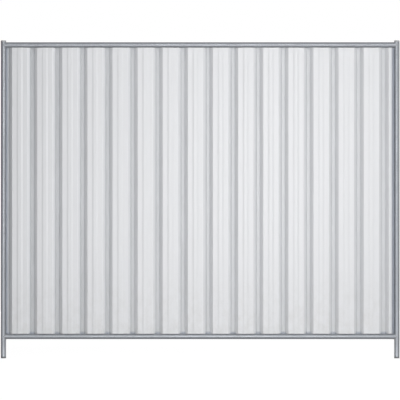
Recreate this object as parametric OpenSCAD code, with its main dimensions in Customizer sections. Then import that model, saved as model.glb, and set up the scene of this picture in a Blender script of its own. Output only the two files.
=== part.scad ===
// Opaque temporary fence panel: a welded frame of round tube, filled with vertically ribbed steel sheet.
// Lengths are in millimetres. X runs along the fence, the front faces -Y and Z is up from the ground.

/* [Frame] */
// Overall width, over both posts
panel_w = 2510; // [1500:10:3500]
// Overall height, from the foot plugs to the top plugs
panel_h = 2000; // [1200:10:2600]
// Outside diameter of the posts and rails
tube_d = 33.7; // [28:0.1:50]
// Wall of the posts and rails
tube_wall = 2; // [1.2:0.1:3.5]
// Clear height of the legs, under the bottom rail
leg_h = 120; // [60:5:250]
// Rise of the posts above the top rail, plugs included
post_rise = 11; // [9:0.5:60]
// Depth dressed off the zinc on each leg, so that it enters a foot socket
leg_relief = 0.25; // [0.2:0.05:0.5]

/* [Ribbed sheet] */
// Thickness of the sheet
sheet_t = 0.5; // [0.4:0.05:1]
// Distance from one recess to the next
rib_pitch = 158; // [140:0.1:250]
// Width of a recess at the front face
recess_mouth_w = 62; // [54:1:75]
// Width of a recess at its floor
recess_floor_w = 19; // [17:0.5:26]
// Depth of a recess
recess_depth = 24; // [12:0.5:24]
// Distance from the left post's inner side to the middle of the first recess
first_recess_offset = 7.2; // [5:0.1:15]
// Distance from the right post's inner side to the bend where the last pan turns back into a nose
edge_nose_offset = 21; // [18:0.1:40]
// Distance from the right post's inner side to the bend between the nose and its web
edge_web_offset = 12.2; // [11.2:0.1:16]
// Depth of that bend behind the pans
edge_nose_depth = 6; // [3:0.5:10]
// Distance from the right post's inner side to the edge flange, which lies at the recess floors' depth
edge_flange_offset = 9; // [8.5:0.1:10]
// Gap between the cut edges of the sheet and the tubes
sheet_gap = 1; // [0.8:0.1:3]
// Radius of the bends, at the middle of the sheet's thickness
bend_r = 3; // [1.5:0.25:5]
// Width of the raised stiffener along each pan, at its foot
stiffener_foot_w = 39; // [30:1:50]
// Width of the stiffener's flat top
stiffener_top_w = 19; // [10:1:26]
// Height of the stiffener
stiffener_h = 2; // [0.6:0.1:2.2]

/* [Fixing strips] */
// Width of the flat bars that carry the edges of the sheet
strip_w = 25; // [20:1:32]
// Thickness of the flat bars
strip_t = 3; // [2:0.5:5]
// Distance of the bars' front faces behind the tube axes
strip_setback = 10; // [7:0.5:10]

/* [Rivets] */
// Shank diameter
rivet_d = 4; // [3.2:0.1:4.8]
// Head diameter
rivet_head_d = 8; // [7:0.1:8.8]
// Distance between the rivets along the upright edges and the laps, at most
edge_rivet_pitch = 320; // [150:10:600]

/* [Plugs] */
// Height of a top plug's head
top_plug_head_h = 8; // [4:0.5:9]
// Height of a foot plug's head
foot_plug_head_h = 10; // [4:0.5:20]
// Length of a plug inside its tube
plug_stem_h = 22; // [12:1:40]

/* [Hidden] */
// Small sizes of the welds
weld_post_leg = 2.2;
weld_rail_leg = 2.5;
weld_root_gap = 0.2;
weld_apex_gap = 2;
stitch_l = 30;
stitch_pitch = 310;
stitch_end_inset = 5;

// Small sizes of the legs, sheets, rivets and plugs
leg_shoulder_h = 12;
lap_edge_inset = 0.5;
end_pan_min_w = 12;
rivet_head_h = 1.4;
rivet_head_rim_h = 0.4;
rivet_tail_d = 6;
rivet_tail_h = 3.2;
rivet_hole_clearance = 0.1;
plug_edge = 1.5;
plug_clearance = 0.15;
plug_fin_w = 2.4;
plug_fin_depth = 1.2;
plug_fins = 4;

// Smoothness, and the length by which a cut runs past its solid
round_fn = 64;
stitch_fn = 256;
bend_step = 20;
overrun = 5;

// Places of the tubes
tube_r = tube_d / 2;
bore_r = tube_r - tube_wall;
leg_r = tube_r - leg_relief;
post_x = panel_w / 2 - tube_r;
bottom_rail_z = leg_h + tube_r;
top_rail_z = panel_h - post_rise - tube_r;
mid_z = (bottom_rail_z + top_rail_z) / 2;
post_top_z = panel_h - top_plug_head_h;

// Planes of the sheet and of the flat bars, from the back to the front
rear_y = strip_setback;
floor_front_y = rear_y - sheet_t;
pan_front_y = floor_front_y - recess_depth;
floor_mid_y = floor_front_y + sheet_t / 2;
pan_mid_y = pan_front_y + sheet_t / 2;

// Half the width of a round of the given radius, at a slice that runs from y0 to y1
function nearest(y0, y1) = y0 * y1 <= 0 ? 0 : min(abs(y0), abs(y1));
function half_chord(r, y0, y1) = sqrt(r * r - pow(nearest(y0, y1), 2));

// Distances of the flat bars from the axes of their tubes, beside the tube and at the corner welds
bar_reach = half_chord(tube_r, rear_y, rear_y + strip_t) + weld_root_gap;
weld_r = tube_r + max(weld_post_leg, weld_rail_leg);
bar_end = half_chord(weld_r, rear_y, rear_y + strip_t) + weld_root_gap;

// Edges of the sheet
sheet_edge_reach = half_chord(tube_r, floor_front_y, rear_y) + sheet_gap;
sheet_left_x = -post_x + sheet_edge_reach;
sheet_right_x = post_x - sheet_edge_reach;
sheet_bottom_z = bottom_rail_z + tube_r + sheet_gap;
sheet_top_z = top_rail_z - tube_r - sheet_gap;

// Recesses across the panel: the last one leaves a narrow pan before the sheet turns back at the right post
first_recess_x = -post_x + tube_r + first_recess_offset;
edge_nose_x = post_x - tube_r - edge_nose_offset;
edge_web_x = post_x - tube_r - edge_web_offset;
edge_flange_x = post_x - tube_r - edge_flange_offset;
recess_room = edge_nose_x - end_pan_min_w - recess_mouth_w / 2 - first_recess_x;
recess_count = floor(recess_room / rib_pitch) + 1;
function recess_x(k) = first_recess_x + k * rib_pitch;

// Recesses in which two sheets lap, and the width of each lap to either side of the recess's middle
sheet_count = 3;
laps = [for (i = [1:sheet_count - 1]) round(i * (recess_count - 1) / sheet_count)];
slope_angle = atan2(recess_depth, (recess_mouth_w - recess_floor_w) / 2);
lap_half_w = recess_floor_w / 2 - bend_r * tan(slope_angle / 2) - lap_edge_inset;
function is_lap(k) = len(search(k, laps)) > 0;
function recess_front_y(k) = floor_front_y - (is_lap(k) ? sheet_t : 0);

// Places of the rivets
rivet_hole_r = rivet_d / 2 + rivet_hole_clearance;
row_inset = bar_reach + strip_w / 2;
bottom_row_z = bottom_rail_z + row_inset;
top_row_z = top_rail_z - row_inset;
edge_gaps = ceil((top_row_z - bottom_row_z) / edge_rivet_pitch);
edge_zs = [for (i = [1:edge_gaps - 1]) bottom_row_z + i * (top_row_z - bottom_row_z) / edge_gaps];
left_edge_x = first_recess_x;
edge_web_angle = atan2(recess_depth - edge_nose_depth, edge_web_offset - edge_flange_offset);
right_edge_x = (edge_flange_x + bend_r * tan(edge_web_angle / 2) + sheet_right_x) / 2;

galvanised = "#b4b7bc";
weld_grey = "#a5a8ac";
sheet_grey = "#e6e7e8";
cap_grey = "#a9acb1";
foot_grey = "#7e8184";

// Places along a tube: X leads away from its axis, Y stays and Z runs along it
module beside_left_post() {
    translate([-post_x, 0, mid_z]) children();
}

module beside_right_post() {
    translate([post_x, 0, mid_z]) mirror([1, 0, 0]) children();
}

module above_bottom_rail() {
    translate([0, 0, bottom_rail_z]) rotate([0, -90, 0]) children();
}

module below_top_rail() {
    translate([0, 0, top_rail_z]) rotate([0, 90, 0]) children();
}

// Tube frame
module post() {
    difference() {
        union() {
            translate([0, 0, leg_h - leg_shoulder_h])
                cylinder(r = tube_r, h = post_top_z - leg_h + leg_shoulder_h, $fn = round_fn);
            translate([0, 0, foot_plug_head_h])
                cylinder(r = leg_r, h = leg_h - foot_plug_head_h, $fn = round_fn);
        }
        translate([0, 0, foot_plug_head_h - overrun])
            cylinder(r = bore_r, h = post_top_z - foot_plug_head_h + 2 * overrun, $fn = round_fn);
    }
}

module rail() {
    difference() {
        rotate([0, 90, 0]) cylinder(r = tube_r, h = 2 * post_x, center = true, $fn = round_fn);
        rotate([0, 90, 0])
            cylinder(r = bore_r, h = 2 * (post_x + overrun), center = true, $fn = round_fn);
        for (side = [-1, 1])
            translate([side * post_x, 0, 0])
                cylinder(r = tube_r + weld_root_gap, h = 2 * (tube_r + overrun), center = true, $fn = round_fn);
    }
}

module left_post() {
    color(galvanised) translate([-post_x, 0, 0]) post();
}

module right_post() {
    color(galvanised) translate([post_x, 0, 0]) post();
}

module top_rail() {
    color(galvanised) translate([0, 0, top_rail_z]) rail();
}

module bottom_rail() {
    color(galvanised) translate([0, 0, bottom_rail_z]) rail();
}

// Saddle weld between a post on the Z axis and a rail that leaves it along +X
module saddle_weld() {
    weld_span = 2 * (weld_r + overrun);
    difference() {
        intersection() {
            cylinder(r = tube_r + weld_post_leg, h = weld_span, center = true, $fn = round_fn);
            rotate([0, 90, 0])
                cylinder(r = tube_r + weld_rail_leg, h = weld_span, center = true, $fn = round_fn);
            translate([weld_apex_gap, -weld_span / 2, -weld_span / 2]) cube(weld_span);
        }
        cylinder(r = tube_r, h = weld_span, center = true, $fn = round_fn);
        rotate([0, 90, 0]) cylinder(r = tube_r, h = weld_span, center = true, $fn = round_fn);
    }
}

module top_left_weld() {
    color(weld_grey) translate([-post_x, 0, top_rail_z]) saddle_weld();
}

module top_right_weld() {
    color(weld_grey) translate([post_x, 0, top_rail_z]) mirror([1, 0, 0]) saddle_weld();
}

module bottom_left_weld() {
    color(weld_grey) translate([-post_x, 0, bottom_rail_z]) saddle_weld();
}

module bottom_right_weld() {
    color(weld_grey) translate([post_x, 0, bottom_rail_z]) mirror([1, 0, 0]) saddle_weld();
}

// Flat bars inside the frame, drilled for their rivets
module flat_bar(length) {
    translate([bar_reach, rear_y, -length / 2]) cube([strip_w, strip_t, length]);
}

module rivet_hole(x, z) {
    translate([x, 0, z])
        rotate([90, 0, 0])
            cylinder(r = rivet_hole_r, h = 2 * (tube_r + overrun), center = true, $fn = round_fn);
}

module row_holes(z) {
    for (k = [0:recess_count - 1]) rivet_hole(recess_x(k), z);
}

module edge_holes(x) {
    for (z = edge_zs) rivet_hole(x, z);
}

level_bar_l = 2 * (post_x - bar_end);
upright_bar_l = top_rail_z - bottom_rail_z - 2 * (bar_reach + strip_w + weld_root_gap);

module top_fixing_strip() {
    color(galvanised) difference() {
        below_top_rail() flat_bar(level_bar_l);
        row_holes(top_row_z);
    }
}

module bottom_fixing_strip() {
    color(galvanised) difference() {
        above_bottom_rail() flat_bar(level_bar_l);
        row_holes(bottom_row_z);
    }
}

module left_fixing_strip() {
    color(galvanised) difference() {
        beside_left_post() flat_bar(upright_bar_l);
        edge_holes(left_edge_x);
    }
}

module right_fixing_strip() {
    color(galvanised) difference() {
        beside_right_post() flat_bar(upright_bar_l);
        edge_holes(right_edge_x);
    }
}

// Stitch welds, which fill the groove between a flat bar's edge and its tube
module stitches(length) {
    span = length - stitch_l - 2 * stitch_end_inset;
    gaps = ceil(span / stitch_pitch);
    for (i = [0:gaps])
        translate([0, 0, (i / gaps - 1 / 2) * span])
            linear_extrude(stitch_l, center = true)
                difference() {
                    translate([0, rear_y]) square([bar_reach, strip_t]);
                    circle(r = tube_r, $fn = stitch_fn);
                }
}

module top_strip_welds() {
    color(weld_grey) below_top_rail() stitches(level_bar_l);
}

module bottom_strip_welds() {
    color(weld_grey) above_bottom_rail() stitches(level_bar_l);
}

module left_strip_welds() {
    color(weld_grey) beside_left_post() stitches(upright_bar_l);
}

module right_strip_welds() {
    color(weld_grey) beside_right_post() stitches(upright_bar_l);
}

// Corners of the sheet's section, along the middle of its thickness
function stiffener_corners(k) =
    let (x = recess_x(k) + rib_pitch / 2, top_y = pan_mid_y - stiffener_h) [
        [x - stiffener_foot_w / 2, pan_mid_y],
        [x - stiffener_top_w / 2, top_y],
        [x + stiffener_top_w / 2, top_y],
        [x + stiffener_foot_w / 2, pan_mid_y]
    ];
function recess_entry(k, floor_y) = [
    [recess_x(k) - recess_mouth_w / 2, pan_mid_y],
    [recess_x(k) - recess_floor_w / 2, floor_y]
];
function recess_exit(k, floor_y) = [
    [recess_x(k) + recess_floor_w / 2, floor_y],
    [recess_x(k) + recess_mouth_w / 2, pan_mid_y]
];

// A sheet from recess k0 to recess k1: it starts on the floor of k0 at start_x
function sheet_corners(k0, k1, start_x, start_y) = concat(
    [[start_x, start_y]],
    recess_exit(k0, start_y),
    [for (k = [k0:k1 - 1]) each concat(
        stiffener_corners(k),
        recess_entry(k + 1, floor_mid_y),
        k + 1 < k1 ? recess_exit(k + 1, floor_mid_y) : []
    )]
);

// Rounds each inner corner: every point comes with the direction of the sheet there
function heading(p, q) = atan2(q.y - p.y, q.x - p.x);
function bend(corner, a0, a1) =
    let (
        side = sign(a1 - a0),
        steps = ceil(abs(a1 - a0) / bend_step),
        start = corner - bend_r * tan(abs(a1 - a0) / 2) * [cos(a0), sin(a0)]
    )
    [for (i = [0:steps])
        let (a = a0 + (a1 - a0) * i / steps)
        [start + side * bend_r * [sin(a) - sin(a0), cos(a0) - cos(a)], a]];
function centre_line(c) =
    let (last = len(c) - 1) concat(
        [[c[0], heading(c[0], c[1])]],
        [for (i = [1:last - 1]) each bend(c[i], heading(c[i - 1], c[i]), heading(c[i], c[i + 1]))],
        [[c[last], heading(c[last - 1], c[last])]]
    );
function beside_line(line, distance) = [for (p = line) p[0] + distance * [-sin(p[1]), cos(p[1])]];
function reversed(list) = [for (i = [len(list) - 1:-1:0]) list[i]];

module ribbed_sheet(corners) {
    line = centre_line(corners);
    outline = concat(beside_line(line, -sheet_t / 2), reversed(beside_line(line, sheet_t / 2)));
    difference() {
        translate([0, 0, sheet_bottom_z])
            linear_extrude(sheet_top_z - sheet_bottom_z)
                polygon(outline);
        row_holes(top_row_z);
        row_holes(bottom_row_z);
        for (k = laps) edge_holes(recess_x(k));
        edge_holes(left_edge_x);
        edge_holes(right_edge_x);
    }
}

module left_sheet() {
    lap_end = [[recess_x(laps[0]) + lap_half_w, floor_mid_y]];
    color(sheet_grey)
        ribbed_sheet(concat(sheet_corners(0, laps[0], sheet_left_x, floor_mid_y), lap_end));
}

module middle_sheet() {
    lap_start_x = recess_x(laps[0]) - lap_half_w;
    lap_end = [[recess_x(laps[1]) + lap_half_w, floor_mid_y]];
    color(sheet_grey)
        ribbed_sheet(concat(sheet_corners(laps[0], laps[1], lap_start_x, floor_mid_y - sheet_t), lap_end));
}

module right_sheet() {
    last = recess_count - 1;
    lap_start_x = recess_x(laps[1]) - lap_half_w;
    end_pan = concat(recess_exit(last, floor_mid_y), [
        [edge_nose_x, pan_mid_y],
        [edge_web_x, pan_mid_y + edge_nose_depth],
        [edge_flange_x, floor_mid_y],
        [sheet_right_x, floor_mid_y]
    ]);
    color(sheet_grey)
        ribbed_sheet(concat(sheet_corners(laps[1], last, lap_start_x, floor_mid_y - sheet_t), end_pan));
}

// Blind rivet along +Y, with its head on the plane at y0 and its tail behind the plane at y1
module rivet(x, z, y0, y1) {
    dome_h = rivet_head_h - rivet_head_rim_h;
    dome_r = (pow(rivet_head_d / 2, 2) + pow(dome_h, 2)) / (2 * dome_h);
    translate([x, y0, z]) rotate([-90, 0, 0]) {
        translate([0, 0, -rivet_head_rim_h])
            cylinder(d = rivet_head_d, h = rivet_head_rim_h, $fn = round_fn);
        intersection() {
            translate([0, 0, dome_r - rivet_head_h]) sphere(r = dome_r, $fn = round_fn);
            translate([0, 0, -rivet_head_h])
                cylinder(d = rivet_head_d, h = dome_h, $fn = round_fn);
        }
        cylinder(d = rivet_d, h = y1 - y0, $fn = round_fn);
        translate([0, 0, y1 - y0]) cylinder(d = rivet_tail_d, h = rivet_tail_h, $fn = round_fn);
    }
}

module rivet_row(z) {
    for (k = [0:recess_count - 1]) rivet(recess_x(k), z, recess_front_y(k), rear_y + strip_t);
}

module top_rivets() {
    color(sheet_grey) rivet_row(top_row_z);
}

module bottom_rivets() {
    color(sheet_grey) rivet_row(bottom_row_z);
}

module left_edge_rivets() {
    color(sheet_grey)
        for (z = edge_zs) rivet(left_edge_x, z, floor_front_y, rear_y + strip_t);
}

module right_edge_rivets() {
    color(sheet_grey)
        for (z = edge_zs) rivet(right_edge_x, z, floor_front_y, rear_y + strip_t);
}

module lap_rivets() {
    color(sheet_grey)
        for (k = laps, z = edge_zs) rivet(recess_x(k), z, recess_front_y(k), rear_y);
}

// Push-in plug with its head below the plane at zero and its finned stem above it
module plug(head_r, head_h) {
    stem_r = bore_r - plug_clearance;
    fin_pitch = plug_stem_h / plug_fins;
    rotate_extrude($fn = round_fn) polygon([
        [0, -head_h],
        [head_r - plug_edge, -head_h],
        [head_r, plug_edge - head_h],
        [head_r, 0],
        [stem_r - plug_fin_depth, 0],
        for (i = [1:plug_fins]) each [
            [stem_r - plug_fin_depth, i * fin_pitch - plug_fin_w],
            [stem_r, i * fin_pitch - plug_fin_w],
            [stem_r - plug_fin_depth, i * fin_pitch]
        ],
        [0, plug_stem_h]
    ]);
}

module top_plug() {
    translate([0, 0, post_top_z]) mirror([0, 0, 1]) plug(tube_r, top_plug_head_h);
}

module foot_plug() {
    translate([0, 0, foot_plug_head_h]) plug(leg_r, foot_plug_head_h);
}

module top_left_plug() {
    color(cap_grey) translate([-post_x, 0, 0]) top_plug();
}

module top_right_plug() {
    color(cap_grey) translate([post_x, 0, 0]) top_plug();
}

module left_foot_plug() {
    color(foot_grey) translate([-post_x, 0, 0]) foot_plug();
}

module right_foot_plug() {
    color(foot_grey) translate([post_x, 0, 0]) foot_plug();
}

left_post();
right_post();
top_rail();
bottom_rail();
top_left_weld();
top_right_weld();
bottom_left_weld();
bottom_right_weld();
top_fixing_strip();
bottom_fixing_strip();
left_fixing_strip();
right_fixing_strip();
top_strip_welds();
bottom_strip_welds();
left_strip_welds();
right_strip_welds();
left_sheet();
middle_sheet();
right_sheet();
top_rivets();
bottom_rivets();
left_edge_rivets();
right_edge_rivets();
lap_rivets();
top_left_plug();
top_right_plug();
left_foot_plug();
right_foot_plug();
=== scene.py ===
"""Looks of the temporary fence panel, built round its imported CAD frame. Lengths are in metres."""

import math
from collections import namedtuple

import bpy
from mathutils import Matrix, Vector, noise


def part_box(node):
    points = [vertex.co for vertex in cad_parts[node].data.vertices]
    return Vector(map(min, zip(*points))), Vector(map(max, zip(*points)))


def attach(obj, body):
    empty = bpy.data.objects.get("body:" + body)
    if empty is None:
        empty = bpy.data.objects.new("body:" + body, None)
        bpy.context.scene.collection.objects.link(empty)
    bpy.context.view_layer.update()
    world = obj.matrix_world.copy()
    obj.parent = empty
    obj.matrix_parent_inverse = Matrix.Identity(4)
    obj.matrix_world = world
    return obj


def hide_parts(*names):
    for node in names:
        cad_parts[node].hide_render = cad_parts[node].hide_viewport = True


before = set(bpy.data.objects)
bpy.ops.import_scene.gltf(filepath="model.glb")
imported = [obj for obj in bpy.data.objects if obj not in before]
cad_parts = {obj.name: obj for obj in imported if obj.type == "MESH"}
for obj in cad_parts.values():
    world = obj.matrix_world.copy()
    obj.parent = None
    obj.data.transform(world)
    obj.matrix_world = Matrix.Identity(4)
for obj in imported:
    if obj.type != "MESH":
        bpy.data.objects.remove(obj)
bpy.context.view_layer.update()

MM = 0.001
X, Y, Z = range(3)


# Places of the frame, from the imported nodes
def middle(node, axis):
    low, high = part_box(node)
    return (low[axis] + high[axis]) / 2


POST_X = {"left": middle("left_post", X), "right": middle("right_post", X)}
RAIL_Z = {"top": middle("top_rail", Z), "bottom": middle("bottom_rail", Z)}
POST_LOW_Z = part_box("left_post")[0].z
POST_TOP_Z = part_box("left_post")[1].z
PANEL_TOP_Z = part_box("top_left_plug")[1].z
SHEET_LOW_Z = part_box("left_sheet")[0].z
SHEET_TOP_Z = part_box("left_sheet")[1].z

# Tubes, as in the part's source
TUBE_R = 16.85 * MM
BORE_R = 14.85 * MM
LEG_R = 16.6 * MM
LEG_SHOULDER_Z = 108 * MM
ROOT_GAP = 0.2 * MM
RIM_EDGE = 0.35 * MM
TUBE_STEPS = 96

# Ribbed sheets, as in the part's source
SHEET_T = 0.5 * MM
RIB_PITCH = 158 * MM
RECESS_MOUTH_W = 62 * MM
RECESS_FLOOR_W = 19 * MM
FIRST_RECESS_GAP = 7.2 * MM
FIRST_RECESS_OFFSET = TUBE_R + FIRST_RECESS_GAP
EDGE_NOSE_GAP = 21 * MM
EDGE_NOSE_OFFSET = TUBE_R + EDGE_NOSE_GAP
EDGE_WEB_GAP = 12.2 * MM
EDGE_WEB_OFFSET = TUBE_R + EDGE_WEB_GAP
EDGE_FLANGE_GAP = 9 * MM
EDGE_FLANGE_OFFSET = TUBE_R + EDGE_FLANGE_GAP
EDGE_NOSE_DEPTH = 6 * MM
FLOOR_Y = 9.75 * MM
FLOOR_FRONT_Y = FLOOR_Y - SHEET_T / 2
PAN_Y = -14.25 * MM
BEND_R = 3 * MM
STIFFENER_FOOT_W = 39 * MM
STIFFENER_TOP_W = 19 * MM
STIFFENER_H = 2 * MM
LAP_RECESSES = (5, 10)
LAST_RECESS = 15

# Mesh of the sheets: support points beside the bends keep flats flat, and the pans wave a little
BEND_STEP = math.radians(6)
BEND_LEAST_STEPS = 2
FLAT_HOLD = 0.5 * MM
SHEET_ROWS = 48
PAN_WAVE_H = 0.06 * MM
PAN_WAVE_SCALE = Vector((9, 0, 2.4))
FRONT_FACE, BACK_FACE, CUT_FACE = range(3)

# Flat bars
STRIP_EDGE = 0.6 * MM
STRIP_EDGE_STEPS = 4
STRIP_T = 3 * MM
REAR_Y = 10 * MM
BAR_BACK_Y = REAR_Y + STRIP_T

# Rivets, with the (radius, height) shares of a set tail and of the mandrel's broken end
RIVET_STEPS = 28
RIVET_HEAD_R = 4 * MM
RIVET_HEAD_H = 1.4 * MM
RIVET_RIM_H = 0.4 * MM
RIVET_SHANK_R = 2 * MM
RIVET_TAIL_R = 3 * MM
RIVET_TAIL_H = 3.2 * MM
RIVET_TAIL_SHARES = ((0.94, 0.12), (1, 0.35), (0.97, 0.6), (0.84, 0.82), (0.62, 0.93))
MANDREL_R = 1.05 * MM
MANDREL_DEPTH = 0.7 * MM
MANDREL_FLOOR_SHARE = 0.9
MANDREL_END_SHARES = ((1.25, 0.95), (1.15, 0.86), (0.9, 0.9), (0.5, 1))
DOME_STEPS = 6
EDGE_RIVET_ROWS = 5
HEAD_FACE, TAIL_FACE = range(2)

# Welds
BEAD_STEPS = 14
BEAD_RIPPLE_PITCH = 2.1 * MM
BEAD_RIPPLE_H = 0.22 * MM
BEAD_WANDER_SHARE = 0.06
BEAD_WANDER_L = 4 * MM
BEAD_END_SHARE = 0.04
RINGS_PER_RIPPLE = 7
SADDLE_TURN_R = 2.6 * MM
SADDLE_HALF_W = 2.7 * MM
SADDLE_HALF_H = 1.5 * MM
SADDLE_SINK = 0.25 * MM
SADDLE_LENGTH_GAIN = 1.2
STITCH_L = 30 * MM
STITCH_HALF_W = 1.9 * MM
STITCH_HALF_H = 1.5 * MM
STITCH_END_TAPER = 4 * MM
STITCH_REACH = 12.5 * MM
STITCH_Y = 12.2 * MM
PLACE_DIGITS = 5
BEHIND = Vector((0, 1, 0))

# Plugs
PLUG_EDGE = 1.5 * MM
PLUG_EDGE_STEPS = 6
PLUG_STEM_H = 22 * MM
PLUG_STEM_R = 14.7 * MM
PLUG_FIN_DEPTH = 1.2 * MM
PLUG_FIN_W = 2.4 * MM
PLUG_FINS = 4
GATE_R = 2.2 * MM
GATE_FLOOR_SHARE = 0.7
GATE_DEPTH = 0.5 * MM
RING_R = 11 * MM
RING_W = 0.8 * MM
RING_DEPTH = 0.4 * MM

SMOOTH_ANGLE = math.radians(32)
NOISE_ROUGH_SHARE = 0.55

# Colours
ZINC = (0.26, 0.274, 0.297)
BAR_ZINC = (0.25, 0.258, 0.272)
WELD = (0.27, 0.278, 0.292)
HEAT_TINT = (0.3, 0.27, 0.23)
COAT = (0.752, 0.760, 0.780)
BACK_COAT = (0.66, 0.665, 0.665)
# The next two colours are painted shade: one for the recesses and pans, a bluish one by the posts and at
# the foot.
PAINTED_RECESS_SHADE = (0.47, 0.485, 0.505)
PAINTED_CORNER_SHADE = (0.29, 0.325, 0.395)
SPLASH_DIRT = (0.5, 0.49, 0.46)
ALUMINIUM = (0.72, 0.73, 0.74)
CAP_GREY = (0.43, 0.436, 0.446)
CAP_WEAR = (0.5, 0.5, 0.51)
FOOT_GREY = (0.188, 0.197, 0.203)
FOOT_WEAR = (0.36, 0.36, 0.36)

# Zinc: spangle, drawing lines, dull patches and grain
SPANGLE_SCALE = (150, 150, 150)
SPANGLE_LOW_GAIN = 0.88
SPANGLE_HIGH_GAIN = 1.12
SPANGLE_ROUGH = (0.32, 0.46)
DRAWN_ACROSS_SCALE = 420
DRAWN_ALONG_SCALE = 5
DRAWN_DETAIL = 3
DRAWN_RANGE = (0.35, 0.65)
DRAWN_SHARE = 0.35
DRAWN_GAIN = 0.82
DRAWN_RELIEF_SHARE = 0.7
PATCHES = {"scale": (7, 7, 7), "detail": 5, "distortion": 0.6}
PATCH_RANGE = (0.48, 0.72)
PATCH_GAIN = 1.22
PATCH_ROUGH_RANGE = (0.45, 0.7)
PATCH_ROUGH = 0.12
ZINC_GRAIN = {"scale": (900, 900, 900), "detail": 2}
GRAIN_RELIEF_SHARE = 0.3
ZINC_BUMP_H = 0.05 * MM
ZINC_BUMP_SHARE = 0.5
ZINC_METAL_SHARE = 0.5
TUBE_DULL_SHARE = 0.3
BAR_DULL_SHARE = 0.4
CUT_EDGE_DULL_SHARE = 0.2
CUT_EDGE_GAIN = 1.8

# Painted shade on the outer sides of the frame, measured outwards from the tubes' axes
FLANK_SHADE_GAIN = 0.5
POST_FLANK_SHADE_START = -3 * MM
POST_FLANK_SHADE_END = 6 * MM
POST_FLANK_SHADE_SHARE = 0.6
POST_FLANK_SHADE = {
    "axis": X,
    "centre": 0,
    "start": POST_X["right"] + POST_FLANK_SHADE_START,
    "end": POST_X["right"] + POST_FLANK_SHADE_END,
    "share": POST_FLANK_SHADE_SHARE,
}
RAIL_FLANK_SHADE_START = 5 * MM
RAIL_FLANK_SHADE_END = 11 * MM
RAIL_FLANK_SHADE_SHARE = 0.5
RAIL_MID_Z = (RAIL_Z["bottom"] + RAIL_Z["top"]) / 2
RAIL_REACH = RAIL_Z["top"] - RAIL_MID_Z
RAIL_FLANK_SHADE = {
    "axis": Z,
    "centre": RAIL_MID_Z,
    "start": RAIL_REACH + RAIL_FLANK_SHADE_START,
    "end": RAIL_REACH + RAIL_FLANK_SHADE_END,
    "share": RAIL_FLANK_SHADE_SHARE,
}

# Painted highlight on the fronts and backs of the lower posts, stronger lower down
POST_HIGHLIGHT_TOP_Z = 1200 * MM
POST_HIGHLIGHT_LOW_Z = 200 * MM
POST_HIGHLIGHT_START_SHARE = 0.87
POST_HIGHLIGHT_FULL_SHARE = 0.99
POST_HIGHLIGHT_GAIN = 1.9
POST_HIGHLIGHT_SHARE = 0.65

# Sheet coat: streaks from the rolls, clouds, specks and splash
STREAKS = {"scale": (210, 0, 0.35), "detail": 5, "rough_share": 0.7}
STREAK_RANGE = (0.3, 0.7)
FRONT_STREAK_SHARE = 0.3
BACK_STREAK_SHARE = 0.35
CLOUDS = {"scale": (3.5, 3.5, 1.6), "detail": 4}
CLOUD_RANGE = (0.35, 0.7)
CLOUD_SHARE = 0.06
COAT_DARK_GAIN = 0.9
SPECKS = {"scale": (260, 260, 190), "detail": 3}
SPECK_RANGE = (0.3, 0.7)
FRONT_ROUGH = (0.33, 0.41)
BACK_ROUGH = (0.55, 0.68)
SPLASH = {"scale": (28, 28, 20), "detail": 6, "rough_share": 0.65}
SPLASH_RANGE = (0.42, 0.75)
SPLASH_SHARE = 0.3
SPLASH_H = 420 * MM
COAT_BUMP_H = 0.04 * MM
COAT_BUMP_SHARE = 0.35
COAT_SPECULAR_SHARE = 0.4

# Painted shade on the sheet's front, in the recesses and heavier towards the left, and a painted highlight
# on the bends into the recesses
RECESS_SHADE_POWERS = (2.6, 1.1)
SHADE_CLOUD_RANGE = (0.3, 0.7)
SHADE_CLOUD_SHARES = (0.425, 0.575)
SHADE_SIDE_SHARES = (1.85, 1.1)
SHADE_EVEN_X = POST_X["right"] / 2
PAN_SHADE_SHARE = 0.13
PAN_SHADE_END_X = POST_X["left"] / 3
CORNER_SHADE_W = 16 * MM
FOOT_SHADE_H = 16 * MM
EDGE_SHADE_W = 36 * MM
EDGE_SHADE_SHARE = 0.5
# Painted highlight on the bends from the pans into the recesses.
BEND_HIGHLIGHT_FAR = 35 * MM
BEND_HIGHLIGHT_NEAR = 15 * MM
BEND_HIGHLIGHT_FADE = 4 * MM
BEND_HIGHLIGHT_SHARE = 0.9
BEND_HIGHLIGHT_GAIN = 1.1

# Weld beads under zinc paint
WELD_SCALE = {"scale": (520, 520, 520), "detail": 5, "rough_share": 0.65}
WELD_SCALE_RANGE = (0.35, 0.7)
WELD_SCALE_SHARE = 0.6
WELD_LOW_GAIN = 0.8
WELD_HIGH_GAIN = 1.15
HEAT = {"scale": (60, 60, 60), "detail": 3}
HEAT_RANGE = (0.5, 0.75)
HEAT_SHARE = 0.35
WELD_ROUGH_RANGE = (0.3, 0.7)
WELD_ROUGH = (0.42, 0.6)
WELD_BUMP_H = 0.12 * MM
WELD_BUMP_SHARE = 0.6
WELD_METAL_SHARE = 0.8

# Moulded plastic
PLASTIC_GRAIN = {"scale": (1400, 1400, 1400), "detail": 2}
FLOW = {"scale": (40, 40, 90), "detail": 4, "distortion": 0.8}
FLOW_RANGE = (0.35, 0.7)
FLOW_SHARE = 0.5
FLOW_GAIN = 0.85
SCUFFS = {"scale": (320, 320, 60), "detail": 5, "rough_share": 0.7}
SCUFF_RANGE = (0.56, 0.75)
SCUFF_ROUGH_RANGE = (0.3, 0.75)
PLASTIC_ROUGH = (0.45, 0.66)
PLASTIC_BUMP_H = 0.04 * MM
PLASTIC_BUMP_SHARE = 0.5
PLASTIC_SPECULAR_SHARE = 0.4
CAP_WEAR_SHARE = 0.3
FOOT_WEAR_SHARE = 0.5

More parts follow.
